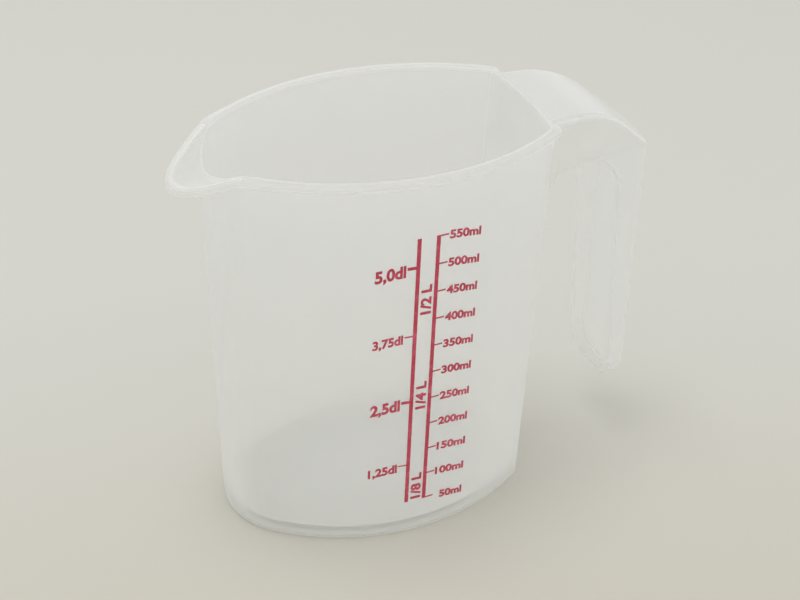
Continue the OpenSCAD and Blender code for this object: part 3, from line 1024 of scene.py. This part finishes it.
@dataclass(frozen=True)
class CloudedPlastic:
    """Unfilled plastic of the moulding: it scatters what passes through and keeps a soft gloss."""

    name: str = "clouded_plastic"
    body: tuple[float, float, float] = (0.838, 0.843, 0.828)
    # Whiter body colour where light is painted: painted highlights on the edges and lifted shade on the base
    # plates.
    painted_light_body: tuple[float, float, float] = (0.965, 0.97, 0.95)
    glow: tuple[float, float, float] = (0.93, 0.935, 0.92)
    roughness: float = 0.3
    specular: float = 0.6
    coat: float = 0.2
    coat_roughness: float = 0.25
    index: float = 1.49
    glow_share: float = 0.45
    facing_span: tuple[float, float] = (0.28, 0.8)
    clear_facing: float = 0.66
    clear_grazing: float = 0.15
    painted_light_strength: float = 0.85
    cloud_scale: float = 38.0
    cloud_detail: float = 4.0
    cloud_depth: float = 0.02
    grain_scale: float = 900.0
    grain_strength: float = 0.35
    grain_depth: float = 0.00002

    def build(self) -> bpy.types.Material:
        """Makes the material."""
        material, sheet = NodeSheet.of_material(self.name)
        place = sheet.add("TexCoord").outputs["Object"]
        grain = sheet.noise(place, self.grain_scale)
        bump = sheet.add("Bump", Height=grain, Strength=self.grain_strength,
                         Distance=self.grain_depth).outputs[0]
        edge = self._painted_light_share(sheet)
        # Painted light: the painted-light share turns the body whiter, as painted highlights along the rim,
        # lip and handle edges and as lifted shade on the base plates.
        body = sheet.mix_colour(edge, (*self.body, 1), (*self.painted_light_body, 1))
        gloss = sheet.add("BsdfPrincipled", Base_Color=body, IOR=self.index, Roughness=self.roughness,
                          Specular_IOR_Level=self.specular, Coat_Weight=self.coat,
                          Coat_Roughness=self.coat_roughness, Normal=bump)
        glow = sheet.add("BsdfTranslucent", Color=(*self.glow, 1))
        solid = sheet.mix_shader(self.glow_share, gloss, glow)
        facing = sheet.add("LayerWeight", Blend=0.5).outputs["Facing"]
        clear = sheet.mapped(facing, self.facing_span, (self.clear_facing, self.clear_grazing))
        cloud = sheet.math("SUBTRACT", sheet.noise(place, self.cloud_scale, self.cloud_detail), 0.5)
        clear = sheet.math("MULTIPLY_ADD", cloud, 2 * self.cloud_depth, clear)
        # The painted highlights and the lifted shade also make the plastic less clear.
        clear = sheet.math("MULTIPLY", clear, sheet.math("SUBTRACT", 1.0, edge))
        sheet.finish(sheet.mix_shader(clear, solid, sheet.add("BsdfTransparent")))
        return material

    def _painted_light_share(self, sheet: NodeSheet) -> bpy.types.NodeSocket:
        """Share of painted light at the surface, from 0 to its full strength: painted highlights near the
        rim, lip and handle edges, and painted light on the base plates that lifts their shade.
        """
        node = sheet.tree.nodes.new("ShaderNodeAttribute")
        node.attribute_name = PAINTED_LIGHT_ATTRIBUTE
        return sheet.math("MULTIPLY", node.outputs["Fac"], self.painted_light_strength)


@dataclass(frozen=True)
class ScreenInk:
    """Red printing ink, laid on unevenly."""

    name: str = "red_scale_ink"
    full: tuple[float, float, float] = (0.45, 0.022, 0.055)
    thin: tuple[float, float, float] = (0.60, 0.11, 0.17)
    roughness: float = 0.45
    blotch_scale: float = 260.0
    blotch_detail: float = 3.0
    blotch_span: tuple[float, float] = (0.45, 0.7)
    blotch_share: float = 0.6
    grain_scale: float = 3200.0
    grain_span: tuple[float, float] = (0.35, 0.75)
    grain_share: float = 0.5

    def build(self) -> bpy.types.Material:
        """Makes the material."""
        material, sheet = NodeSheet.of_material(self.name)
        place = sheet.add("TexCoord").outputs["Object"]
        blotch = sheet.noise(place, self.blotch_scale, self.blotch_detail)
        blotch = sheet.mapped(blotch, self.blotch_span, (0.0, 1.0))
        grain = sheet.mapped(sheet.noise(place, self.grain_scale), self.grain_span, (0.0, self.grain_share))
        share = sheet.math("MULTIPLY_ADD", blotch, self.blotch_share, grain)
        colour = sheet.mix_colour(share, (*self.full, 1), (*self.thin, 1))
        ink = sheet.add("BsdfPrincipled", Base_Color=colour, Roughness=self.roughness)
        sheet.finish(ink)
        return material


@dataclass(frozen=True)
class PalePaper:
    """Matt paper under and behind the jug, with painted shade that makes it a little warmer and darker in
    front.
    """

    name: str = "pale_paper"
    # Painted shade: the darker, warmer colour towards the front.
    front: tuple[float, float, float] = (0.622, 0.596, 0.516)
    back: tuple[float, float, float] = (0.680, 0.675, 0.624)
    fall: tuple[float, float] = (-0.14, 0.13)
    away: tuple[float, float] = (0.30, 0.96)
    mottle: float = 0.03
    mottle_scale: float = 9.0
    mottle_detail: float = 3.0

    def build(self) -> bpy.types.Material:
        """Makes the material."""
        material, sheet = NodeSheet.of_material(self.name)
        place = sheet.add("TexCoord").outputs["Object"]
        x, y, _ = sheet.add("SeparateXYZ", Vector=place).outputs
        # Painted shade: the tone runs from the back colour to the darker, warmer front colour; the mottle is
        # the paper's own uneven tone.
        depth = sheet.math("MULTIPLY_ADD", x, self.away[0], sheet.math("MULTIPLY", y, self.away[1]))
        mottle = sheet.math("SUBTRACT", sheet.noise(place, self.mottle_scale, self.mottle_detail), 0.5)
        mottle = sheet.math("MULTIPLY", mottle, self.mottle)
        tone = sheet.mapped(sheet.math("ADD", depth, mottle), self.fall, (0.0, 1.0))
        colour = sheet.mix_colour(tone, (*self.front, 1), (*self.back, 1))
        sheet.finish(sheet.add("BsdfDiffuse", Color=colour))
        return material


@dataclass
class JugMoulding:
    """The whole plastic part: shell and handle joined into one skin."""

    form: JugForm
    finish: CloudedPlastic
    smooth_angle: float = 32.0
    # Spread of the painted highlights, and the painted light on the base plates.
    highlight_spread: float = 0.42
    plate_painted_light: float = 0.6
    plate_margin: float = 0.05
    plate_flatness: float = 0.9

    def build(self) -> bpy.types.Object:
        """Models, joins and dresses the moulding.

        Returns:
            The piece that stands for the five moulded nodes.
        """
        shell = VesselShell(self.form).build()
        handle = ChannelHandle(self.form).build()
        apply_modifier(shell, "BOOLEAN", object=handle, operation="UNION", solver="EXACT")
        bpy.data.objects.remove(handle)
        shell.name = "jug_moulding"
        for vertex in shell.data.vertices:
            vertex.co = [min(max(vertex.co[i], CAD_BOX[0][i]), CAD_BOX[1][i]) for i in range(3)]
        make_active(shell)
        bpy.ops.object.shade_smooth_by_angle(angle=math.radians(self.smooth_angle))
        apply_modifier(shell, "WEIGHTED_NORMAL", keep_sharp=True)
        self._paint_light_marks(shell)
        dress(shell, self.finish.build())
        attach(shell, "root")
        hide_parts(*MOULDING_NODES)
        return shell

    def _paint_light_marks(self, shell: bpy.types.Object) -> None:
        """Writes painted light into each vertex: painted highlights by how near it lies to the rim, lip and
        handle edges, and painted light on the flat base plates that lifts their shade.

        Args:
            shell: The joined moulding.
        """
        lines = VesselShell(self.form).highlight_lines() + ChannelHandle(self.form).highlight_lines()
        points = [(point, strength) for line, strength in lines for point in line]
        tree = KDTree(len(points))
        for index, (point, _) in enumerate(points):
            tree.insert(point * MM, index)
        tree.balance()
        # Painted light: flat faces of the inside floor, the foot recess ceiling and the underside are marked
        # whiter and less clear, to lift their shade.
        plates = (self.form.floor_level, self.form.foot_height, 0.0)
        marks = shell.data.attributes.new(PAINTED_LIGHT_ATTRIBUTE, "FLOAT", "POINT")
        for vertex, mark in zip(shell.data.vertices, marks.data):
            # Painted highlights fade with distance from the highlight lines.
            _, index, apart = tree.find(vertex.co)
            mark.value = points[index][1] * math.exp(-(apart / MM / self.highlight_spread) ** 2)
            level_gap = min(abs(vertex.co.z / MM - level) for level in plates)
            if abs(vertex.normal.z) > self.plate_flatness and level_gap < self.plate_margin:
                mark.value = self.plate_painted_light


@dataclass(frozen=True)
class Lettering:
    """One kind of numbers, in mm: figure height, length, start, drop from the line to the feet."""

    cap: float
    width: float
    x: float
    drop: float = 0.0


@dataclass
class PrintedScale:
    """Numbers beside the printed lines, wrapped on the near wall."""

    form: JugForm
    finish: ScreenInk
    centre_x: float = -1.55
    thickness: float = 0.1
    clearance: float = 0.03
    boldness: float = 0.036
    letter_height: float = 0.729
    letter_depth: float = 0.01
    curve_steps: int = 6
    line_gap: float = 1.5
    millilitres: Lettering = Lettering(3.05, 10.55, 4.95, 1.5)
    two_figures: float = 0.81
    small_decilitres: Lettering = Lettering(3.45, 8.95, -17.05, 2.025)
    large_decilitres: Lettering = Lettering(4.4, 8.95, -17.05, 2.5)
    fractions: Lettering = Lettering(3.5, 10.2, 0.15)
    fraction_feet: tuple[tuple[str, float], ...] = (("1/8 L", 13.9), ("1/4 L", 49.5), ("1/2 L", 84.2))
    pieces: list[bpy.types.Object] = field(default_factory=list)

    def _levels(self, node: str) -> list[float]:
        """Heights of the middles of a node's separate lines, from the lowest up."""
        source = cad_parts[node]
        heights = sorted({round(vertex.co.z / MM, 2) for vertex in source.data.vertices})
        groups: list[list[float]] = []
        for height in heights:
            if groups and height - groups[-1][-1] < self.line_gap:
                groups[-1].append(height)
            else:
                groups.append([height])
        return [(group[0] + group[-1]) / 2 for group in groups]

    def _wrap(self, x: float, z: float, out: float) -> Vector:
        """Point of the print on the wall, in metres: the lines of print sag to both sides of the bars."""
        sag = (x - self.centre_x) ** 2 / (2 * self.form.side_radius)
        return self.form.near_wall(x, z - sag, self.clearance + out) * MM

    def _text(self, words: str, cap: float, width: float,
              place: Callable[[float, float], tuple[float, float]]) -> bpy.types.Object:
        """One run of letters, turned into a mesh and wrapped on the wall.

        Args:
            words: The letters.
            cap: Height of the figures in millimetres.
            width: Length of the run in millimetres.
            place: From a place along and up the run, in millimetres, to x and z on the wall.

        Returns:
            The mesh piece.
        """
        deselect_all()
        bpy.ops.object.text_add()
        text = bpy.context.object
        text.data.body = words
        text.data.offset = self.boldness
        text.data.extrude = self.letter_depth
        text.data.resolution_u = self.curve_steps
        bpy.ops.object.convert(target="MESH")
        piece = bpy.context.object
        vertices = piece.data.vertices
        low = Vector([min(vertex.co[axis] for vertex in vertices) for axis in range(3)])
        high = Vector([max(vertex.co[axis] for vertex in vertices) for axis in range(3)])
        tall = self.letter_height + 2 * self.boldness
        for vertex in vertices:
            along = (vertex.co.x - low.x) / (high.x - low.x) * width
            up = (vertex.co.y + self.boldness) / tall * cap
            out = (vertex.co.z - low.z) / (high.z - low.z) * self.thickness
            x, z = place(along, up)
            vertex.co = self._wrap(x, z, out)
        return piece

    def _level_text(self, words: str, kind: Lettering, level: float, width: float,
                    left: float) -> bpy.types.Object:
        """One level run of letters beside a line of print.

        Args:
            words: The letters.
            kind: Their sizes.
            level: Height of the line.
            width: Length of the run.
            left: X where the run starts.

        Returns:
            The mesh piece.
        """
        low = level - kind.drop
        return self._text(words, kind.cap, width, lambda a, u: (left + a, low + u))

    def _row(self, name: str, runs: Sequence[bpy.types.Object], ink: bpy.types.Material) -> None:
        """Joins runs of letters into one piece and dresses it."""
        make_active(runs[0])
        for run in runs:
            run.select_set(True)
        bpy.ops.object.join()
        piece = bpy.context.object
        piece.name = name
        piece.data.name = name
        bpy.ops.object.mode_set(mode="EDIT")
        merge_and_face_out()
        dress(piece, ink)
        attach(piece, "root")
        self.pieces.append(piece)

    def build(self) -> list[bpy.types.Object]:
        """Models the numbers and dresses the printed lines of the frame."""
        ink = self.finish.build()
        for node in INK_NODES:
            dress(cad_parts[node], ink)
        runs = []
        for index, level in enumerate(self._levels("millilitre_lines")):
            words, kind = f"{MILLILITRE_STEP * (index + 1)}ml", self.millilitres
            width = kind.width * (self.two_figures if len(words) < len("100ml") else 1.0)
            runs.append(self._level_text(words, kind, level, width, kind.x + kind.width - width))
        self._row("millilitre_numbers", runs, ink)
        runs = []
        for words, level in zip(DECILITRES, self._levels("decilitre_lines")):
            kind = self.small_decilitres if len(words) > len("5,0dl") else self.large_decilitres
            runs.append(self._level_text(words, kind, level, kind.width, kind.x))
        self._row("decilitre_numbers", runs, ink)
        kind = self.fractions
        runs = [self._text(words, kind.cap, kind.width, lambda a, u, low=low: (kind.x - u, low + a))
                for words, low in self.fraction_feet]
        self._row("litre_fractions", runs, ink)
        return self.pieces


@dataclass
class Studio:
    """Paper, soft lamps and the camera."""

    paper: PalePaper
    azimuth: float = -25.19
    elevation: float = 34.09
    roll: float = 2.46
    distance: float = 514.0
    aim: tuple[float, float, float] = (-2.41, 0.0, 65.51)
    focal_pixels: float = 1640.6
    picture_width: int = 800
    sensor: float = 36.0
    clip_start: float = 0.01
    floor_size: float = 8.0
    lamp_place: tuple[float, float, float] = (-0.16, 0.05, 1.1)
    lamp_size: tuple[float, float] = (0.35, 0.35)
    lamp_power: float = 2.2
    horizon: float = 1.36
    zenith: float = 0.58

    def build(self) -> None:
        """Sets up floor, light and camera."""
        self._floor()
        self._light()
        self._camera()
        bpy.context.scene.view_settings.view_transform = "Standard"

    def _floor(self) -> None:
        """Lays the paper."""
        deselect_all()
        bpy.ops.mesh.primitive_plane_add(size=self.floor_size, location=(0, 0, 0))
        floor = bpy.context.object
        floor.name = "paper_floor"
        floor.data.materials.append(self.paper.build())

    def _light(self) -> None:
        """Adds a soft lamp overhead, and a sky that is brighter near the horizon."""
        data = bpy.data.lights.new("soft_box", "AREA")
        data.shape = "RECTANGLE"
        data.size, data.size_y = self.lamp_size
        data.energy = self.lamp_power
        lamp = bpy.data.objects.new("soft_box", data)
        bpy.context.scene.collection.objects.link(lamp)
        place = Vector(self.lamp_place)
        turn = place.to_track_quat("Z", "Y").to_matrix()
        lamp.matrix_world = Matrix.Translation(place) @ turn.to_4x4()
        world = bpy.data.worlds.new("even_sky")
        bpy.context.scene.world = world
        world.use_nodes = True
        world.node_tree.nodes.clear()
        sheet = NodeSheet(world.node_tree)
        up = sheet.add("SeparateXYZ", Vector=sheet.add("TexCoord").outputs["Generated"]).outputs[2]
        strength = sheet.mapped(up, (0.0, 1.0), (self.horizon, self.zenith))
        sky = sheet.add("Background", Color=(1.0, 1.0, 1.0, 1), Strength=strength)
        output = world.node_tree.nodes.new("ShaderNodeOutputWorld")
        world.node_tree.links.new(sky.outputs[0], output.inputs["Surface"])

    def _camera(self) -> None:
        """Sets the camera at the photograph's angle."""
        data = bpy.data.cameras.new("camera")
        data.sensor_fit = "HORIZONTAL"
        data.sensor_width = self.sensor
        data.lens = self.focal_pixels / self.picture_width * self.sensor
        data.clip_start = self.clip_start
        camera = bpy.data.objects.new("camera", data)
        bpy.context.scene.collection.objects.link(camera)
        side_cosine, side_sine = turned(self.azimuth)
        up_cosine, up_sine = turned(self.elevation)
        back = Vector((side_sine * up_cosine, -side_cosine * up_cosine, up_sine))
        right = Vector((side_cosine, side_sine, 0))
        up = back.cross(right)
        roll_cosine, roll_sine = turned(self.roll)
        rolled_right = right * roll_cosine + up * roll_sine
        rolled_up = up * roll_cosine - right * roll_sine
        place = (Vector(self.aim) + back * self.distance) * MM
        turn = Matrix((rolled_right, rolled_up, back)).transposed()
        camera.matrix_world = Matrix.Translation(place) @ turn.to_4x4()
        bpy.context.scene.camera = camera


def main() -> None:
    """Builds the jug and its studio."""
    logging.basicConfig(level=logging.INFO, format="%(name)s: %(message)s")
    form = JugForm()
    moulding = JugMoulding(form, CloudedPlastic()).build()
    log.info("%s: %d faces", moulding.name, len(moulding.data.polygons))
    for piece in PrintedScale(form, ScreenInk()).build():
        log.info("%s: %d faces", piece.name, len(piece.data.polygons))
    Studio(PalePaper()).build()


if __name__ == "__main__":
    main()
